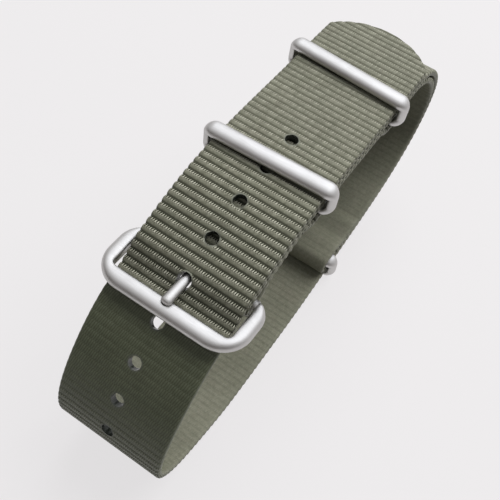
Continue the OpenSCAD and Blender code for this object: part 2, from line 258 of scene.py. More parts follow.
LONG_PATH = Path(
    stretch(FLAP_LEN, 0, flap_mid)
    + fold(REAR_BAR_C, FOLD_IN_R + STRAP_T / 2, heading(0) - math.pi / 2)
    + stretch(0, LOOP_LEN + TAIL_JOIN, lambda u: RUN_OFF)
    + stretch(TAIL_JOIN, TAIL_FREE, tail_mid)
    + [TAIL_LEAVES + along(TAIL_FREE) * (TAIL_REACH - TAIL_FREE) * i / TAIL_STEPS
       for i in range(1, TAIL_STEPS + 1)])
SHORT_PATH = Path(
    stretch(SHORT_START, END_FOLD_U, short_mid)
    + fold(off_loop(END_FOLD_U, END_BAR_OFF), -END_FOLD_R, heading(END_FOLD_U) - math.pi / 2)
    + stretch(END_FOLD_U, END_WELD_OUT, lambda u: RETURN_MID))

# Along the near end, between the front bar and the table, the webbing is pulled straight and its ribs are low.
# Past the keepers, up the tail and round the far end, they are a little lower than at the buckle.
NEAR_START, NEAR_END, FAR_START = (LONG_PATH.place_of(off_loop(u, RUN_OFF))
                                   for u in (LOOP_LEN - 48, LOOP_LEN - 10, 30))
TAIL_START = LONG_PATH.place_of(off_loop(10, TAIL_OFF))
NEAR_RISE, NEAR_FALL, FAR_LEN, FAR_RISE, TAIL_RISE = 26, 2.2, 50, 20, 22
NEAR_CALM, TAIL_CALM, SHORT_CALM = 0.85, 0.4, 0.3

# Half of the webbing's section, from the middle of its face out to its selvedge: (across, height)
FACE_STEPS = (0, 0.5, 1, 1.5, 2.1, 2.9, 4, 5.4, 6.9, 8.3, 9.2, 9.6)
EDGE_ROUND = ((9.85, 0.5), (9.98, 0.26), (10, 0), (9.98, -0.26), (9.85, -0.5))
# Where the section starts to round off towards the selvedge, and over what width
ROUND_FROM, ROUND_W = 9.2, 0.8
# Rows of points in one rib: part of the pitch, depth below the crest
RIB_ROWS = ((0.0, 0.19), (0.1, 0.15), (0.24, 0.05), (0.45, 0.01), (0.65, 0.0), (0.8, 0.05), (0.92, 0.15))
# The grooves' depth on the face inside the loop, as a part of that outside
INSIDE_RELIEF = 0.25
# The tip is cut by an arc of this many degrees, out to this radius
TIP_ARC, TIP_ARC_STEPS, TIP_CUT_R = 124, 52, 22
# Half the height of a shape that cuts right through the webbing
CUT_HALF = 2


def section():
    """Points round the webbing, anticlockwise from the middle of the upper face."""
    scale = STRAP_W / 20
    half = [(v * scale, STRAP_T / 2) for v in FACE_STEPS] + [(v * scale, h) for v, h in EDGE_ROUND]
    under = [(v * scale, -STRAP_T / 2) for v in reversed(FACE_STEPS[1:])]
    right = half + under
    left = [(-v, h) for v, h in reversed(right[1:])]
    return right + [(0, -STRAP_T / 2)] + left


SECTION = section()
GIRTH = [0.0]
for a, b in zip(SECTION, SECTION[1:] + SECTION[:1]):
    GIRTH.append(GIRTH[-1] + math.dist(a, b))
YARNS_ROUND = round(GIRTH[-1] / YARN_PITCH)


def make(name, bm, *materials):
    """An object in the scene from the mesh, which is used up."""
    mesh = bpy.data.meshes.new(name)
    bm.to_mesh(mesh)
    bm.free()
    obj = bpy.data.objects.new(name, mesh)
    bpy.context.scene.collection.objects.link(obj)
    for material in materials:
        mesh.materials.append(material)
    return obj


def cut_from(piece, bm, *materials):
    """Takes a shape away from the piece. The cut faces get the last of the shape's materials."""
    for face in bm.faces:
        face.material_index = max(len(materials) - 1, 0)
    cutter = make("cutter", bm, *materials)
    cut = piece.modifiers.new("cut", "BOOLEAN")
    cut.object = cutter
    cut.operation = "DIFFERENCE"
    cut.solver = "EXACT"
    cut.material_mode = "TRANSFER"
    mesh = bpy.data.meshes.new_from_object(piece.evaluated_get(bpy.context.evaluated_depsgraph_get()))
    piece.modifiers.clear()
    piece.data = mesh
    bpy.data.objects.remove(cutter)


def soften(bm, sharp_from):
    """Smooth shading, with the edges sharper than so many degrees kept."""
    for face in bm.faces:
        face.smooth = True
    for edge in bm.edges:
        edge.smooth = edge.calc_face_angle(0.0) < math.radians(sharp_from)


def box_between(bm, low, high, matrix=Matrix()):
    size = Vector(high) - Vector(low)
    middle = (Vector(high) + Vector(low)) / 2
    bmesh.ops.create_cube(bm, size=1,
                          matrix=matrix @ Matrix.Translation(middle) @ Matrix.Diagonal((*size, 1)))


def calm_at(s):
    """How far the ribs are pulled flat, at a length of the long strap."""
    near = ease(NEAR_START, NEAR_START + NEAR_RISE, s) * (1 - ease(NEAR_END, NEAR_END + NEAR_FALL, s))
    far_end = 1 - ease(FAR_START + FAR_LEN, FAR_START + (FAR_LEN + FAR_RISE), s)
    far = ease(FAR_START, FAR_START + FAR_RISE, s) * far_end
    return max(NEAR_CALM * near, TAIL_CALM * far, TAIL_CALM * ease(TAIL_START, TAIL_START + TAIL_RISE, s))


def flat_webbing(name, path, first_groove, materials, calm):
    """A straight closed strip along X, ribbed on both faces, with scalloped selvedges."""
    end_depth, end_margin, face_from = 0.05, 0.1, 0.1
    rows = [(0.0, end_depth)]
    rib = math.ceil(-first_groove / RIB_PITCH) - 1
    while (rib * RIB_PITCH + first_groove) < path.length:
        for part, depth in RIB_ROWS:
            s = (rib + part) * RIB_PITCH + first_groove
            if end_margin < s < path.length - end_margin:
                rows.append((s, depth * (1 - calm(s))))
        rib += 1
    rows.append((path.length, end_depth))
    bm = bmesh.new()
    uv = bm.loops.layers.uv.new("weave")
    bmesh.ops.create_grid(bm, x_segments=len(rows) - 1, y_segments=len(SECTION), size=1)
    place = {}
    for vert in bm.verts:
        i = round((vert.co.x + 1) / 2 * (len(rows) - 1))
        j = round((vert.co.y + 1) / 2 * len(SECTION))
        s, depth = rows[i]
        v, h = SECTION[j % len(SECTION)]
        if h < -face_from:
            depth *= INSIDE_RELIEF
        place[vert] = (s, GIRTH[j])
        # Towards the selvedge a groove grows shallower on the face and cuts in from the side
        flank = max(0.0, (abs(v) - ROUND_FROM) / ROUND_W)
        h_in = math.copysign(depth * (1 - 0.5 * flank), h) if abs(h) > face_from else 0
        v_in = math.copysign(depth * 0.8 * flank, v)
        vert.co = (s, v - v_in, h - h_in)
    for face in bm.faces:
        for loop in face.loops:
            s, g = place[loop.vert]
            loop[uv].uv = ((s - first_groove) / RIB_PITCH, g / GIRTH[-1] * YARNS_ROUND)
    bmesh.ops.remove_doubles(bm, verts=bm.verts, dist=0.0005)
    bmesh.ops.holes_fill(bm, edges=[e for e in bm.edges if e.is_boundary], sides=0)
    bmesh.ops.recalc_face_normals(bm, faces=bm.faces)
    return make(name, bm, *materials)


def punch_holes(strip, centres, tip, materials):
    """Melted round holes and the tip's arc, whose cut walls are near black, partly painted shade."""
    bm = bmesh.new()
    bm.loops.layers.uv.new("weave")
    for s in centres:
        bmesh.ops.create_cone(bm, cap_ends=True, segments=28, radius1=HOLE_D / 2, radius2=HOLE_D / 2,
                              depth=2 * CUT_HALF, matrix=Matrix.Translation((s, 0, 0)))
    centre = Vector((tip - TIP_R, 0, 0))
    start = Matrix.Translation(centre) @ Matrix.Rotation(math.radians(-TIP_ARC / 2), 4, "Z")
    corners = [bm.verts.new(start @ Vector((r, 0, z)))
               for r, z in ((TIP_R, -CUT_HALF), (TIP_CUT_R, -CUT_HALF), (TIP_CUT_R, CUT_HALF), (TIP_R, CUT_HALF))]
    side = bm.faces.new(corners)
    bmesh.ops.spin(bm, geom=[side] + list(side.edges) + corners, cent=centre, axis=(0, 0, 1),
                   angle=math.radians(TIP_ARC), steps=TIP_ARC_STEPS, use_duplicate=False)
    bmesh.ops.recalc_face_normals(bm, faces=bm.faces)
    cut_from(strip, bm, *materials)


# Room round the tongue's shank, the more of it above the shank, which rises with the buckle, and how far
# beyond that room the webbing still gives way
SHANK_ROOM, RISE_ROOM, GIVE = 0.1, 0.3, 0.5
# The webbing is looked at for that within this length of the tip
TAIL_LOOK = 70


def clear_of_tongue(point):
    """The webbing gives way along the tongue: a point near its shank is pushed out to its side."""
    local = ON_REAR_BAR.inverted() @ point
    reach = TONGUE_D / 2 + SHANK_ROOM
    if not -TONGUE_REACH + TONGUE_D / 2 < local.x < 0.5:
        return point
    side = Vector((0, local.y, local.z - TONGUE_RISE))
    if side.z > 0:
        reach += RISE_ROOM * ease(0.3, -1.6, local.x) * ease(-4.2, -3.0, local.x) * ease(0, 0.4, side.z)
    if side.length >= reach + GIVE or side.length < 1e-4:
        return point
    gap = side.length
    wanted = max(gap, reach + GIVE * gap / (reach + GIVE) * 0.5)
    side.normalize()
    return ON_REAR_BAR @ Vector((local.x, side.y * wanted, TONGUE_RISE + side.z * wanted))


def roll_up(strip, path, round_tongue=False):
    """Bends the flat strip onto its path and gives it its real place and size."""
    bm = bmesh.new()
    bm.from_mesh(strip.data)
    stations = {}
    for vert in bm.verts:
        s, v, h = vert.co
        key = round(s, 4)
        if key not in stations:
            stations[key] = path.station(s)
        p, n = stations[key]
        q = p + n * h
        place = Vector((q.x - MID_X, v, q.y))
        if round_tongue and s > path.length - TAIL_LOOK:
            place = clear_of_tongue(place)
        vert.co = place * MM
    soften(bm, 60)
    bm.to_mesh(strip.data)
    bm.free()


# ---------------------------------------------------------------- finishes
def maths(tree, operation, *inputs):
    """A Math node fed by sockets and numbers. Gives its output socket."""
    made = tree.nodes.new("ShaderNodeMath")
    made.operation = operation
    for slot, value in zip(made.inputs, inputs):
        if isinstance(value, (int, float)):
            slot.default_value = value
        else:
            tree.links.new(value, slot)
    return made.outputs[0]


def smooth(tree, value, low, high, start=0.0, end=1.0):
    """A smooth ramp from start, where the value is low, to end, where it is high."""
    made = tree.nodes.new("ShaderNodeMapRange")
    made.interpolation_type = "SMOOTHSTEP"
    tree.links.new(value, made.inputs[0])
    for k, number in enumerate((low, high, start, end)):
        made.inputs[k + 1].default_value = number
    return made.outputs[0]


def blend_colours(tree, mode, factor, a, b):
    """Colour a with b laid over it. The factor and both colours are sockets or numbers."""
    made = tree.nodes.new("ShaderNodeMix")
    made.data_type = "RGBA"
    made.blend_type = mode
    for slot, value in ((made.inputs[0], factor), (made.inputs[6], a), (made.inputs[7], b)):
        if isinstance(value, (int, float)):
            slot.default_value = value
        elif isinstance(value, tuple):
            slot.default_value = (*value, 1)
        else:
            tree.links.new(value, slot)
    return made.outputs[2]


def new_material(name):
    material = bpy.data.materials.new(name)
    material.use_nodes = True
    tree = material.node_tree
    return material, tree, tree.nodes["Principled BSDF"]


def noise(tree, vector, scale, detail=2.0, roughness=0.5):
    made = tree.nodes.new("ShaderNodeTexNoise")
    made.inputs["Scale"].default_value = scale
    made.inputs["Detail"].default_value = detail
    made.inputs["Roughness"].default_value = roughness
    tree.links.new(vector, made.inputs["Vector"])
    return made.outputs["Fac"]


# The ribs are counted from the groove beside the tongue's hole, along the whole strap
GROOVE_U = 0.93 * RIB_PITCH - TONGUE_HOLE_REACH
GROOVE_AT = LONG_PATH.place_of(off_loop(GROOVE_U, tail_mid(GROOVE_U))) % RIB_PITCH
TAIL_HOLES = [LONG_PATH.place_of(off_loop(i * HOLE_PITCH - TONGUE_HOLE_REACH,
                                          TAIL_OFF if i else tail_mid(-TONGUE_HOLE_REACH)))
              for i in range(HOLES_EACH_WAY + 1)]
NEAR_HOLES = [LONG_PATH.place_of(off_loop(LOOP_LEN - TONGUE_HOLE_REACH - i * HOLE_PITCH, RUN_OFF))
              for i in range(HOLES_EACH_WAY, 0, -1)]


def rib_at(s):
    """Number of ribs at a length along the strap, as the weave's own map counts them."""
    return (s - GROOVE_AT) / RIB_PITCH


def round_holes(tree, ribs, aside, holes):
    """1 on the melted rim of each hole in a row, with a soft outer edge."""
    first, pitch = rib_at(holes[0]), (rib_at(holes[-1]) - rib_at(holes[0])) / (len(holes) - 1)
    turns = maths(tree, "DIVIDE", maths(tree, "SUBTRACT", ribs, first - pitch / 2), pitch)
    off = maths(tree, "MULTIPLY", maths(tree, "SUBTRACT", maths(tree, "FRACT", turns), 0.5), pitch * RIB_PITCH)
    away = maths(tree, "SQRT", maths(tree, "ADD", maths(tree, "POWER", off, 2.0),
                                     maths(tree, "POWER", aside, 2.0)))
    rim = smooth(tree, away, HOLE_D / 2 + 0.32, HOLE_D / 2 + 0.1)
    in_row = maths(tree, "MULTIPLY", maths(tree, "GREATER_THAN", turns, 0.0),
                   maths(tree, "LESS_THAN", turns, float(len(holes))))
    return maths(tree, "MULTIPLY", rim, in_row)


# Colours of the webbing, painted highlights and painted shade among them, which are mixed in by the masks of
# webbing_material()
OLIVE, PALE_OLIVE, DUSTY_OLIVE = (0.24, 0.243, 0.182), (0.285, 0.286, 0.217), (0.27, 0.25, 0.2)
# The crest's and the comb's colours are painted highlights: the rib's crest and the yarns of its comb made
# lighter where light falls on them
CREST_HIGHLIGHT, TOOTH_HIGHLIGHT = (0.41, 0.407, 0.32), (0.52, 0.515, 0.42)
# The groove's and the gap's colours are painted shade in the grooves between ribs and in the gaps between yarns
GROOVE_SHADE, YARN_GAP_SHADE = (0.062, 0.065, 0.044), (0.022, 0.024, 0.015)
# The hatch's colour is painted shade in the gaps between yarns where the ribs are flat. The rim's colour is the
# melted rims' own.
HATCH_SHADE, RIM_COLOUR = (0.05, 0.056, 0.034), (0.16, 0.168, 0.145)
# Tints that darken it. The streak and grain tints are the nylon's own, and the tint on the calm near end is
# painted shade, as that end faces away from the light.
STREAK_TINT, GRAIN_TINT = (0.5, 0.5, 0.46), (0.6, 0.6, 0.56)
NEAR_END_SHADE_TINT, EASED_TINT = (0.6, 0.66, 0.56), (0.82, 0.82, 0.82)


def webbing_material():
    """Ribbed nylon: a groove in painted shade, a comb of slanted warp yarns with painted highlights and painted
    shade in the gaps between them, and a smoother crest with a painted highlight in every rib.
    """
    material, tree, shader = new_material("grey_green_nylon")
    coords = tree.nodes.new("ShaderNodeUVMap")
    coords.uv_map = "weave"
    parts = tree.nodes.new("ShaderNodeSeparateXYZ")
    tree.links.new(coords.outputs[0], parts.inputs[0])
    ribs, yarns = parts.outputs[0], parts.outputs[1]
    place = tree.nodes.new("ShaderNodeTexCoord").outputs["Object"]

    rib = maths(tree, "FRACT", ribs)
    # Warp yarns lean a little across the rib, and end in a comb on the side of the crest that faces the tip
    wobble = maths(tree, "MULTIPLY", maths(tree, "SUBTRACT", noise(tree, place, 900.0), 0.5), 0.4)
    slanted = maths(tree, "ADD", maths(tree, "ADD", yarns, maths(tree, "MULTIPLY", rib, 0.66)), wobble)
    yarn = maths(tree, "FRACT", slanted)
    from_middle = maths(tree, "MULTIPLY", maths(tree, "ABSOLUTE", maths(tree, "SUBTRACT", yarn, 0.5)), 2.0)
    each = tree.nodes.new("ShaderNodeTexWhiteNoise")
    each.noise_dimensions = "2D"
    cell = tree.nodes.new("ShaderNodeCombineXYZ")
    tree.links.new(maths(tree, "FLOOR", ribs), cell.inputs[0])
    tree.links.new(maths(tree, "FLOOR", slanted), cell.inputs[1])
    tree.links.new(cell.outputs[0], each.inputs["Vector"])
    chance = each.outputs["Value"]
    width = maths(tree, "SUBTRACT", smooth(tree, rib, 0.55, 0.66, 1.35, 0.56),
                  smooth(tree, rib, 0.72, 1.05, 0.0, 0.4))
    gap = smooth(tree, maths(tree, "SUBTRACT", from_middle, width), -0.16, 0.16)
    groove = maths(tree, "MAXIMUM", smooth(tree, rib, 0.28, 0.1), smooth(tree, rib, 0.9, 1.0))
    # The side that lies inside the loop is smoother
    inside = smooth(tree, maths(tree, "ABSOLUTE", maths(tree, "SUBTRACT", yarns, YARNS_ROUND / 2)),
                    YARNS_ROUND * 0.25 + 1, YARNS_ROUND * 0.25 - 1)
    # Calm along the near end, and eased round the far end and up the tail, as in calm_at()
    calm = maths(tree, "MULTIPLY", smooth(tree, ribs, rib_at(NEAR_START), rib_at(NEAR_START + NEAR_RISE)),
                 smooth(tree, ribs, rib_at(NEAR_END + NEAR_FALL), rib_at(NEAR_END)))
    far = maths(tree, "MULTIPLY", smooth(tree, ribs, rib_at(FAR_START), rib_at(FAR_START + FAR_RISE)),
                smooth(tree, ribs, rib_at(FAR_START + (FAR_LEN + FAR_RISE)), rib_at(FAR_START + FAR_LEN)))
    eased = maths(tree, "MAXIMUM", far,
                  smooth(tree, ribs, rib_at(TAIL_START), rib_at(TAIL_START + TAIL_RISE)))
    aside = maths(tree, "MULTIPLY", YARN_PITCH, maths(tree, "SUBTRACT", YARNS_ROUND / 2, maths(
        tree, "ABSOLUTE", maths(tree, "SUBTRACT", yarns, YARNS_ROUND / 2))))
    rim = maths(tree, "MAXIMUM", round_holes(tree, ribs, aside, TAIL_HOLES),
                round_holes(tree, ribs, aside, NEAR_HOLES))
    strength = maths(tree, "MULTIPLY", maths(tree, "SUBTRACT", 1.0, maths(tree, "MULTIPLY", inside, 0.88)),
                     maths(tree, "SUBTRACT", 1.0,
                           maths(tree, "MAXIMUM", rim, maths(tree, "MULTIPLY", calm, 0.95))))
    strength = maths(tree, "MULTIPLY", strength,
                     maths(tree, "SUBTRACT", 1.0, maths(tree, "MULTIPLY", eased, 0.4)))
    # Where the ribs are flat, painted shade in the gaps between the yarns shows as fine dark lines along the
    # strap
    flat_gap_shade = maths(tree, "MULTIPLY", smooth(tree, from_middle, 0.35, 0.95), maths(tree, "MULTIPLY", calm, 0.55))
    lively = maths(tree, "SUBTRACT", 1.0, maths(tree, "MAXIMUM", inside, calm))
    gap = maths(tree, "MULTIPLY", gap, strength)
    groove = maths(tree, "MULTIPLY", groove, strength)
    crest = maths(tree, "MULTIPLY", smooth(tree, rib, 0.38, 0.62), strength)
    tooth = maths(tree, "MULTIPLY", smooth(tree, rib, 0.48, 0.64), smooth(tree, rib, 1.0, 0.92))

    patchy = noise(tree, place, 160.0, 3.0)
    blotchy = noise(tree, place, 420.0, 3.0)
    fine = noise(tree, place, 2600.0, 2.0)
    base = blend_colours(tree, "MIX", smooth(tree, patchy, 0.3, 0.7), OLIVE, PALE_OLIVE)
    base = blend_colours(tree, "MIX", smooth(tree, blotchy, 0.45, 0.8, 0.0, 0.35), base, DUSTY_OLIVE)
    # Painted highlight on the rib's crest
    base = blend_colours(tree, "MIX", maths(tree, "MULTIPLY", crest, 0.6), base, CREST_HIGHLIGHT)
    # Painted highlights on the comb's yarns, some brighter than others
    lit = maths(tree, "MULTIPLY", maths(tree, "MULTIPLY", tooth, strength),
                maths(tree, "ADD", 0.25, maths(tree, "MULTIPLY", chance, 0.75)))
    base = blend_colours(tree, "MIX", lit, base, TOOTH_HIGHLIGHT)
    streak = maths(tree, "ADD", maths(tree, "MULTIPLY", chance, 0.22), maths(tree, "MULTIPLY", fine, 0.5))
    streaky = maths(tree, "MULTIPLY", smooth(tree, streak, 0.55, 0.15, 0.0, 0.5), lively)
    base = blend_colours(tree, "MULTIPLY", streaky, base, STREAK_TINT)
    # Painted shade over the calm near end, which faces away from the light
    base = blend_colours(tree, "MULTIPLY", calm, base, NEAR_END_SHADE_TINT)
    base = blend_colours(tree, "MULTIPLY", eased, base, EASED_TINT)
    grain = noise(tree, place, 1700.0, 3.0, 0.7)
    base = blend_colours(tree, "MULTIPLY", smooth(tree, grain, 0.62, 0.38, 0.0, 0.4), base, GRAIN_TINT)
    # Painted shade: dark lines between the yarns where the ribs are flat
    base = blend_colours(tree, "MIX", flat_gap_shade, base, HATCH_SHADE)
    # Painted shade in the grooves between ribs, and in the gaps between yarns
    base = blend_colours(tree, "MIX", maths(tree, "MULTIPLY", groove, 0.9), base, GROOVE_SHADE)
    base = blend_colours(tree, "MIX", maths(tree, "MULTIPLY", gap, 0.96), base, YARN_GAP_SHADE)
    base = blend_colours(tree, "MIX", maths(tree, "MULTIPLY", rim, 0.55), base, RIM_COLOUR)
    tree.links.new(base, shader.inputs["Base Color"])

    round_yarn = maths(tree, "SUBTRACT", 1.0, maths(tree, "POWER", from_middle, 2.0))
    height = maths(tree, "ADD", maths(tree, "MULTIPLY", fine, 0.25),
                   maths(tree, "MULTIPLY", maths(tree, "MULTIPLY", round_yarn, strength),
                         maths(tree, "ADD", 0.12, maths(tree, "MULTIPLY", tooth, 0.88))))
    bump = tree.nodes.new("ShaderNodeBump")
    bump.inputs["Strength"].default_value = 0.8
    bump.inputs["Distance"].default_value = 0.0001
    tree.links.new(height, bump.inputs["Height"])
    tree.links.new(bump.outputs[0], shader.inputs["Normal"])
    gloss = maths(tree, "MAXIMUM", groove, gap)
    tree.links.new(smooth(tree, gloss, 0.0, 1.0, 0.5, 0.85), shader.inputs["Roughness"])
    shader.inputs["Specular IOR Level"].default_value = 0.32
    return material


# Near black: the melted edge's own dark colour, and painted shade on the cut walls inside the holes
MELT_DARK_AND_SHADE, MELT_LIGHT_AND_SHADE = (0.022, 0.028, 0.024), (0.07, 0.078, 0.064)
STEEL_DARK, STEEL_LIGHT = (0.56, 0.55, 0.54), (0.63, 0.62, 0.61)


def melt_and_shade_material():
    """Edge of the webbing where heat has cut it, near black: partly its own melted colour and partly painted
    shade on the walls inside the holes.
    """
    material, tree, shader = new_material("melt_and_shade_nylon")
    place = tree.nodes.new("ShaderNodeTexCoord").outputs["Object"]
    patchy = noise(tree, place, 2200.0, 3.0)
    base = blend_colours(tree, "MIX", patchy, MELT_DARK_AND_SHADE, MELT_LIGHT_AND_SHADE)
    tree.links.new(base, shader.inputs["Base Color"])
    tree.links.new(smooth(tree, patchy, 0.2, 0.8, 0.18, 0.4), shader.inputs["Roughness"])
    return material


def steel_material():
    """Satin steel with fine brush lines across the bar."""
    material, tree, shader = new_material("satin_steel")
    place = tree.nodes.new("ShaderNodeTexCoord").outputs["Object"]
    stretch_map = tree.nodes.new("ShaderNodeMapping")
    stretch_map.inputs["Scale"].default_value = (9000, 500, 9000)
    tree.links.new(place, stretch_map.inputs[0])
    brush = noise(tree, stretch_map.outputs[0], 1.0, 3.0, 0.6)
    cloudy = noise(tree, place, 260.0, 3.0)
    base = blend_colours(tree, "MIX", smooth(tree, cloudy, 0.3, 0.75), STEEL_DARK, STEEL_LIGHT)
    tree.links.new(base, shader.inputs["Base Color"])
    rough = maths(tree, "ADD", smooth(tree, brush, 0.25, 0.75, 0.38, 0.48),
                  maths(tree, "MULTIPLY", cloudy, 0.06))
    tree.links.new(rough, shader.inputs["Roughness"])
    bump = tree.nodes.new("ShaderNodeBump")
    bump.inputs["Strength"].default_value = 0.12
    bump.inputs["Distance"].default_value = 0.00004
    tree.links.new(brush, bump.inputs["Height"])
    tree.links.new(bump.outputs[0], shader.inputs["Normal"])
    shader.inputs["Metallic"].default_value = 1.0
    return material


NYLON = webbing_material()
MELT_AND_SHADE = melt_and_shade_material()
STEEL = steel_material()


def place_piece(piece, body, node_name):
    """Attaches the piece to the body it moves with, and hides the CAD node that it stands for."""
    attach(piece, body)
    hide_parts(node_name)


# ---------------------------------------------------------------- webbing
def long_strap():
    """The long strap: ribbed, punched, slotted for the tongue's eye, and then bent to its path."""
    strip = flat_webbing("long_webbing", LONG_PATH, GROOVE_AT, (NYLON, MELT_AND_SHADE), calm_at)
    punch_holes(strip, TAIL_HOLES + NEAR_HOLES, LONG_PATH.length, (NYLON, MELT_AND_SHADE))
    cut_eye_slot(strip)
    roll_up(strip, LONG_PATH, round_tongue=True)
    place_piece(strip, "strap", "long_strap")


def cut_eye_slot(strip):
    """The slot in the fold that the tongue's eye turns in."""
    fold_middle = LONG_PATH.place_of(REAR_BAR_C - along(0) * (FOLD_IN_R + STRAP_T / 2))
    half_w = EYE_W / 2 + SIDE_CLEAR
    back = TONGUE_RISE + TONGUE_D / 2 + SIDE_CLEAR
    reach = math.pi / 2 * (FOLD_IN_R + STRAP_T / 2) + back
    bm = bmesh.new()
    bm.loops.layers.uv.new("weave")
    box_between(bm, (fold_middle - reach, -half_w, -CUT_HALF), (fold_middle + reach, half_w, CUT_HALF))
    cut_from(strip, bm, NYLON, MELT_AND_SHADE)


def short_strap():
    """The short strap, evenly calm from end to end."""
    first_groove = 0.4
    strip = flat_webbing("short_webbing", SHORT_PATH, first_groove, (NYLON, MELT_AND_SHADE), lambda s: SHORT_CALM)
    roll_up(strip, SHORT_PATH)
    place_piece(strip, "strap", "short_strap")


# ---------------------------------------------------------------- buckle
# The frame bar's section, from its inner edge out: (part of the bar's width, height above its middle)
FRAME_SECTION = ((0.1, -0.9), (0.03, -0.83), (0, -0.66), (0, 0.42), (0.02, 0.6), (0.06, 0.73), (0.13, 0.82),
                 (0.24, 0.88), (0.38, 0.9), (0.52, 0.885), (0.65, 0.83), (0.77, 0.71), (0.87, 0.51), (0.95, 0.24),
                 (0.995, -0.08), (0.99, -0.36), (0.93, -0.58), (0.8, -0.77), (0.6, -0.89))
# A bar of this width has its full height. A narrower one is lower, down to this part of it.
FULL_HEIGHT_W, LEAST_HEIGHT = 1.45, 0.25
# How many rows the sweep has at a rear end, along a side, round a corner, and behind a front corner
END_ROWS, SIDE_ROWS, CORNER_ROWS, INNER_ROWS = 14, 10, 16, 4
NOTCH_CLEAR, REAR_BAR_BITE = 0.15, 0.2


def grow(bm, face, vec, steps=1):
    """Extrudes a face along vec and gives the face at the far end."""
    for _ in range(steps):
        grown = bmesh.ops.extrude_face_region(bm, geom=[face])
        face = [f for f in grown["geom"] if isinstance(f, bmesh.types.BMFace)][0]
        bmesh.ops.translate(bm, verts=face.verts, vec=Vector(vec) / steps)
    return face


def turn(bm, face, centre, axis, degrees, steps):
    """Spins a face round an axis and gives the face at the far end."""
    turned = bmesh.ops.spin(bm, geom=[face] + list(face.edges) + list(face.verts), cent=centre, axis=axis,
                            angle=math.radians(degrees), steps=steps, use_duplicate=False)
    return [f for f in turned["geom_last"] if isinstance(f, bmesh.types.BMFace)][0]


def close_sweep(bm, sides, ends):
    """Takes out the faces left inside a sweep, keeps its two ends, and points all faces outwards."""
    inside = [f for f in bm.faces if len(f.verts) == sides and f not in ends]
    bmesh.ops.delete(bm, geom=inside, context="FACES_ONLY")
    bmesh.ops.remove_doubles(bm, verts=bm.verts, dist=0.002)
    bmesh.ops.recalc_face_normals(bm, faces=bm.faces)


def bar_width(x, y):
    """Where the frame bar's inner edge is nearest to (x, y), the way out from it, and the bar's width there."""
    half_out = FRAME_W / 2
    inner = Vector((-FRAME_REACH + FRONT_BAR_W / 2 + INNER_CORNER_R, HALF_IN - INNER_CORNER_R))
    front = Vector((-FRAME_REACH - FRONT_BAR_W / 2 + FRONT_CORNER_R, half_out - FRONT_CORNER_R))
    rear = Vector((REAR_BAR_R - REAR_CORNER_R, half_out - REAR_CORNER_R))
    if x > inner.x - 1e-4 and y > inner.y:
        if x > rear.x:
            edge = rear.y + math.sqrt(max(REAR_CORNER_R ** 2 - (x - rear.x) ** 2, 0))
        elif x < front.x:
            edge = front.y + math.sqrt(FRONT_CORNER_R ** 2 - (x - front.x) ** 2)
        else:
            edge = half_out
        return Vector((x, HALF_IN)), Vector((0, 1)), max(edge - HALF_IN, 0.1)
    if y < inner.y + 1e-4:
        bulge = math.sqrt(FRONT_CORNER_R ** 2 - (y - front.y) ** 2) if y > front.y else FRONT_CORNER_R
        edge = front.x - bulge
        return Vector((inner.x - INNER_CORNER_R, y)), Vector((-1, 0)), inner.x - INNER_CORNER_R - edge
    way = (Vector((x, y)) - inner).normalized()
    apart = inner - front
    ray = -way.dot(apart) + math.sqrt(way.dot(apart) ** 2 - apart.length_squared + FRONT_CORNER_R ** 2)
    return inner + way * INNER_CORNER_R, way, ray - INNER_CORNER_R


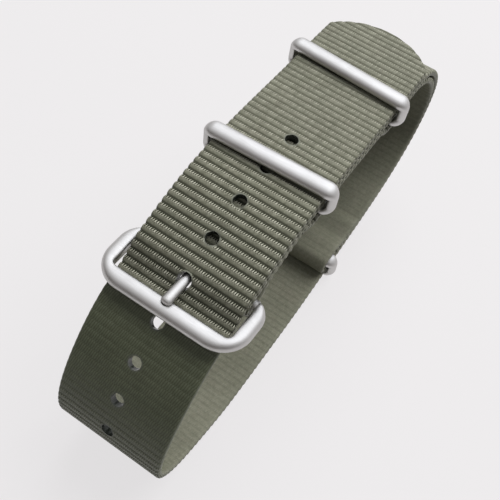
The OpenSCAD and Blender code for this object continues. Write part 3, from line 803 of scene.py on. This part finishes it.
def buckle_frame():
    """A domed bar swept round three sides, rounded off at both rear ends, and the bar across its rear."""
    bar_w = (FRAME_W - STRAP_W) / 2 - SIDE_CLEAR
    round_at = REAR_BAR_R - REAR_CORNER_R
    bend_x = -FRAME_REACH + FRONT_BAR_W / 2 + INNER_CORNER_R
    bend_y = HALF_IN - INNER_CORNER_R
    straight_y = FRAME_W / 2 - FRONT_CORNER_R
    bm = bmesh.new()
    part = bm.verts.layers.float.new("part")
    verts = [bm.verts.new((REAR_BAR_R, HALF_IN + w * bar_w, z)) for w, z in FRAME_SECTION]
    for vert, (w, _) in zip(verts, FRAME_SECTION):
        vert[part] = w
    first = bm.faces.new(verts)
    face = grow(bm, first, (round_at - REAR_BAR_R, 0, 0), END_ROWS)
    face = grow(bm, face, (bend_x - round_at, 0, 0), SIDE_ROWS)
    face = turn(bm, face, (bend_x, bend_y, 0), (0, 0, 1), 90, CORNER_ROWS)
    face = grow(bm, face, (0, straight_y - bend_y, 0), INNER_ROWS)
    face = grow(bm, face, (0, -2 * straight_y, 0), SIDE_ROWS)
    face = grow(bm, face, (0, straight_y - bend_y, 0), INNER_ROWS)
    face = turn(bm, face, (bend_x, -bend_y, 0), (0, 0, 1), 90, CORNER_ROWS)
    face = grow(bm, face, (round_at - bend_x, 0, 0), SIDE_ROWS)
    last = grow(bm, face, (REAR_BAR_R - round_at, 0, 0), END_ROWS)
    # The bar's width follows the frame's outer edge, whose corners are rounder than the inner ones
    for vert in bm.verts:
        side = -1 if vert.co.y < 0 else 1
        foot, way, width = bar_width(vert.co.x, abs(vert.co.y))
        out = foot + way * width * vert[part]
        height = vert.co.z * (LEAST_HEIGHT + (1 - LEAST_HEIGHT) * ease(0, FULL_HEIGHT_W, width))
        vert.co = (out.x, side * out.y, height)
    close_sweep(bm, len(FRAME_SECTION), (first, last))
    bm.transform(ON_REAR_BAR)
    plate = make("buckle_plate", bm, STEEL)

    # Room for the tongue's tip, and for the webbing that comes up behind the front bar
    notch_r = TONGUE_D / 2 + NOTCH_CLEAR
    at_tip = ON_REAR_BAR @ Matrix.Translation((-TONGUE_REACH + TONGUE_D / 2, 0, TONGUE_RISE))
    bm = bmesh.new()
    bmesh.ops.create_uvsphere(bm, u_segments=32, v_segments=16, radius=notch_r, matrix=at_tip)
    cut_from(plate, bm)
    bm = bmesh.new()
    bmesh.ops.create_cone(bm, cap_ends=True, segments=32, radius1=notch_r, radius2=notch_r, depth=FRONT_BAR_W,
                          matrix=at_tip @ Matrix.Rotation(math.pi / 2, 4, "Y")
                          @ Matrix.Translation((0, 0, FRONT_BAR_W / 2)))
    cut_from(plate, bm)
    bm = bmesh.new()
    relief = (STRAP_W + SIDE_CLEAR) / 2
    box_between(bm, (-FRONT_BAR_W, -relief, -2 * FRAME_T), (2 * FRONT_BAR_W, relief, 0),
                seat(FRONT_U, BAR_CLEAR))
    cut_from(plate, bm)

    bm = bmesh.new()
    bm.from_mesh(plate.data)
    bmesh.ops.remove_doubles(bm, verts=bm.verts, dist=0.002)
    bmesh.ops.create_cone(bm, cap_ends=True, segments=32, radius1=REAR_BAR_R, radius2=REAR_BAR_R,
                          depth=2 * HALF_IN + REAR_BAR_BITE,
                          matrix=ON_REAR_BAR @ Matrix.Rotation(math.pi / 2, 4, "X"))
    bmesh.ops.scale(bm, vec=(MM, MM, MM), verts=bm.verts)
    soften(bm, 38)
    bpy.data.objects.remove(plate)
    piece = make("buckle_frame_domed", bm, STEEL)
    place_piece(piece, "buckle", "buckle_frame")


# The pin's outline from its tip back: (distance from the tip, radius), for a pin of the given radius
PIN_OUTLINE = ((0, 0), (0.04, 0.24), (0.16, 0.44), (0.36, 0.58), (0.65, 0.645), (1.2, 0.65), (3, 0.63),
               (5.2, 0.6))
PIN_OUTLINE_R = 0.65
# The pin is pressed a little flat: wider across, lower in height
PIN_ACROSS, PIN_HEIGHT = 1.06, 0.86
EYE_CHAMFER = 0.15


def tongue():
    """A round pin with a full tip, and the eye that turns on the rear bar."""
    r = TONGUE_D / 2
    bm = bmesh.new()
    outline = [(-TONGUE_REACH + x, y) for x, y in PIN_OUTLINE] + [(-0.9, 0.6), (-0.6, 0)]
    wire = [bm.verts.new((x, 0, TONGUE_RISE + y * r / PIN_OUTLINE_R)) for x, y in outline]
    edges = [bm.edges.new(pair) for pair in zip(wire, wire[1:])]
    bmesh.ops.spin(bm, geom=wire + edges, cent=(0, 0, TONGUE_RISE), axis=(1, 0, 0), angle=2 * math.pi, steps=24,
                   use_merge=True, use_duplicate=False)
    for vert in bm.verts:
        vert.co.y *= PIN_ACROSS
        vert.co.z = TONGUE_RISE + (vert.co.z - TONGUE_RISE) * PIN_HEIGHT
    eye_in, eye_out, half_w, c = REAR_BAR_R + EYE_CLEAR, TONGUE_RISE + r - 0.05, EYE_W / 2, EYE_CHAMFER
    outline = ((-half_w + c, eye_in), (half_w - c, eye_in), (half_w, eye_in + c), (half_w, eye_out - c),
               (half_w - c, eye_out), (-half_w + c, eye_out), (-half_w, eye_out - c), (-half_w, eye_in + c))
    ring = [bm.verts.new((0, y, z)) for y, z in outline]
    edges = [bm.edges.new(pair) for pair in zip(ring, ring[1:] + ring[:1])]
    bmesh.ops.spin(bm, geom=ring + edges, cent=(0, 0, 0), axis=(0, 1, 0), angle=2 * math.pi, steps=32,
                   use_merge=True, use_duplicate=False)
    bmesh.ops.remove_doubles(bm, verts=bm.verts, dist=0.001)
    bmesh.ops.recalc_face_normals(bm, faces=bm.faces)
    bm.transform(ON_REAR_BAR)
    bmesh.ops.scale(bm, vec=(MM, MM, MM), verts=bm.verts)
    soften(bm, 50)
    piece = make("tongue_pin", bm, STEEL)
    place_piece(piece, "tongue", "tongue")


# ---------------------------------------------------------------- rings
# Half of the bar's section, from the top of its crown to its flat inner face: (along the strap, height)
BAR_HALF = ((0, 1.4), (0.4, 1.375), (0.78, 1.3), (1.1, 1.16), (1.35, 0.96), (1.52, 0.7), (1.6, 0.42),
            (1.57, 0.2), (1.44, 0.06), (1.22, 0))
# The bar's width in the middle of a ring's end, as a part of its full width
END_NARROW = 0.62
# How many rows the ring's sweep has along half a side, round a corner, and along an end
HALF_SIDE_ROWS, BEND_ROWS, RING_END_ROWS = 8, 10, 4


def domed_ring(name, u, off, gap, shift, askew, body, node_name):
    """A domed bar bent to a closed oblong: straight runs extruded, corners spun."""
    half_h = STRAP_T + gap / 2 + RING_CLEAR
    half_l = RING_L / 2 - RING_BAR_T
    r = RING_CORNER_IN
    bm = bmesh.new()
    outline = list(BAR_HALF) + [(-x, z) for x, z in reversed(BAR_HALF[1:])]
    verts = [bm.verts.new((x, 0, half_h + z)) for x, z in outline]
    first = bm.faces.new(verts)
    straight_l, straight_h = half_l - r, half_h - r
    across, low = (1, 0, 0), -90
    face = grow(bm, first, (0, straight_l, 0), HALF_SIDE_ROWS)
    face = turn(bm, face, (0, straight_l, straight_h), across, low, BEND_ROWS)
    face = grow(bm, face, (0, 0, -2 * straight_h), RING_END_ROWS)
    face = turn(bm, face, (0, straight_l, -straight_h), across, low, BEND_ROWS)
    face = grow(bm, face, (0, -2 * straight_l, 0), 2 * HALF_SIDE_ROWS)
    face = turn(bm, face, (0, -straight_l, -straight_h), across, low, BEND_ROWS)
    face = grow(bm, face, (0, 0, 2 * straight_h), RING_END_ROWS)
    face = turn(bm, face, (0, -straight_l, straight_h), across, low, BEND_ROWS)
    grow(bm, face, (0, straight_l, 0), HALF_SIDE_ROWS)
    close_sweep(bm, len(outline), ())
    # The bar grows narrower round the ends
    for vert in bm.verts:
        y = abs(vert.co.y) - straight_l
        z = abs(vert.co.z) - straight_h
        if y > 0:
            bend = math.atan2(max(z, 0.0), y)
            vert.co.x *= END_NARROW + (1 - END_NARROW) * math.sin(bend)
    bm.transform(seat(u, off) @ Matrix.Translation((0, shift, 0))
                 @ Matrix.Rotation(math.radians(askew), 4, "Z"))
    bmesh.ops.scale(bm, vec=(MM, MM, MM), verts=bm.verts)
    soften(bm, 60)
    piece = make(name, bm, STEEL)
    place_piece(piece, body, node_name)


long_strap()
short_strap()
buckle_frame()
tongue()
domed_ring("near_keeper_ring", NEAR_KEEPER_AT, LAYER_GAP / 2, LAYER_GAP, KEEPER_SHIFT, NEAR_KEEPER_TURN,
           "near_keeper", "near_keeper")
domed_ring("far_keeper_ring", FAR_KEEPER_AT, LAYER_GAP / 2, LAYER_GAP, KEEPER_SHIFT, FAR_KEEPER_TURN,
           "far_keeper", "far_keeper")
domed_ring("end_ring_closed", END_RING_AT, -STRAP_T - FREE_GAP / 2, FREE_GAP, END_RING_SHIFT, 0, "end_ring",
           "end_ring")

# ---------------------------------------------------------------- camera, floor and light
scene = bpy.context.scene
scene.view_settings.view_transform = "Standard"

# The camera as fitted to the photograph: angles in degrees, its place in millimetres
CAMERA_AZIMUTH, CAMERA_ELEVATION, CAMERA_ROLL = -65.05, 56.62, 10.47
CAMERA_AT = (-71.55, -30.19, 130.07)
CAMERA_LENS = 53.165
azimuth, elevation, roll = (math.radians(a) for a in (CAMERA_AZIMUTH, CAMERA_ELEVATION, CAMERA_ROLL))
back = Vector((math.sin(azimuth) * math.cos(elevation), -math.cos(azimuth) * math.cos(elevation),
               math.sin(elevation)))
right = Vector((math.cos(azimuth), math.sin(azimuth), 0))
up = back.cross(right)
cam_right = right * math.cos(roll) + up * math.sin(roll)
cam_up = up * math.cos(roll) - right * math.sin(roll)
camera_data = bpy.data.cameras.new("camera")
camera_data.sensor_width = 36
camera_data.lens = CAMERA_LENS
camera_data.clip_start = 0.005
camera_data.clip_end = 20
camera = bpy.data.objects.new("camera", camera_data)
place = Matrix((cam_right, cam_up, back)).transposed().to_4x4()
place.translation = Vector(CAMERA_AT) * MM
camera.matrix_world = place
scene.collection.objects.link(camera)
scene.camera = camera

# The ground as the camera sees it, and as it lights the object
BACKGROUND, DIM_GROUND = (0.847, 0.831, 0.839), (0.32, 0.315, 0.31)
GLOW_SHARE = 0.86
# The sky's light from the horizon up
SKY_LOW, SKY_HIGH = (0.08, 0.078, 0.075), (0.23, 0.23, 0.234)
# What metal mirrors: a bright soft window high over the far end, in a room that darkens towards the near end
WINDOW_WAY = (0.62, 0.0, 0.785)
ROOM_DARK, ROOM_LIGHT, WINDOW = (0.11, 0.095, 0.085), (0.85, 0.85, 0.86), (2.1, 2.15, 2.25)


def seen_directly(tree):
    """1 for what the camera sees, also in a reflection."""
    path = tree.nodes.new("ShaderNodeLightPath")
    mirrored = maths(tree, "MAXIMUM", path.outputs["Is Glossy Ray"], path.outputs["Is Transmission Ray"])
    return maths(tree, "MAXIMUM", path.outputs["Is Camera Ray"], mirrored)


def pale_floor():
    """A floor that looks pale to the camera and gives the object little light."""
    bm = bmesh.new()
    bmesh.ops.create_grid(bm, x_segments=1, y_segments=1, size=3)
    material, tree, shader = new_material("pale_floor")
    seen = seen_directly(tree)
    tree.links.new(blend_colours(tree, "MIX", seen, DIM_GROUND, BACKGROUND), shader.inputs["Base Color"])
    shader.inputs["Roughness"].default_value = 0.9
    shader.inputs["Specular IOR Level"].default_value = 0.0
    glow = tree.nodes.new("ShaderNodeEmission")
    glow.inputs[0].default_value = (*BACKGROUND, 1)
    mix = tree.nodes.new("ShaderNodeMixShader")
    tree.links.new(maths(tree, "MULTIPLY", seen, GLOW_SHARE), mix.inputs[0])
    tree.links.new(shader.outputs[0], mix.inputs[1])
    tree.links.new(glow.outputs[0], mix.inputs[2])
    tree.links.new(mix.outputs[0], tree.nodes["Material Output"].inputs["Surface"])
    floor = make("floor", bm, material)


def soft_sky():
    """A dim sky that lights the object, with other colours for what mirrors it and for the camera."""
    world = bpy.data.worlds.new("studio")
    scene.world = world
    world.use_nodes = True
    tree = world.node_tree
    shade = tree.nodes["Background"]
    coords = tree.nodes.new("ShaderNodeTexCoord")
    parts = tree.nodes.new("ShaderNodeSeparateXYZ")
    tree.links.new(coords.outputs["Generated"], parts.inputs[0])
    height = smooth(tree, parts.outputs[2], 0.0, 0.9)
    light = blend_colours(tree, "MIX", height, SKY_LOW, SKY_HIGH)
    window = tree.nodes.new("ShaderNodeVectorMath")
    window.operation = "DOT_PRODUCT"
    tree.links.new(coords.outputs["Generated"], window.inputs[0])
    window.inputs[1].default_value = WINDOW_WAY
    shown = blend_colours(tree, "MIX", smooth(tree, window.outputs["Value"], -0.35, 0.8), ROOM_DARK, ROOM_LIGHT)
    shown = blend_colours(tree, "MIX", smooth(tree, window.outputs["Value"], 0.74, 0.96), shown, WINDOW)
    light = blend_colours(tree, "MIX", seen_directly(tree), light, shown)
    # Past the floor's edge the camera sees the same pale ground
    path = tree.nodes.new("ShaderNodeLightPath")
    light = blend_colours(tree, "MIX", path.outputs["Is Camera Ray"], light, BACKGROUND)
    tree.links.new(light, shade.inputs[0])
    shade.inputs[1].default_value = 1.0


def soft_lamp(name, place, size, power, aim=(0, 0, 0.03)):
    """A round area lamp in metres and watts that metal doesn't mirror."""
    data = bpy.data.lights.new(name, "AREA")
    data.shape = "DISK"
    data.size = size
    data.energy = power
    lamp = bpy.data.objects.new(name, data)
    lamp.visible_glossy = False
    lamp.location = place
    lamp.rotation_euler = (Vector(aim) - Vector(place)).to_track_quat("-Z", "Y").to_euler()
    scene.collection.objects.link(lamp)


pale_floor()
soft_sky()
soft_lamp("overhead", (0.4, -0.06, 0.53), 0.75, 6.4)
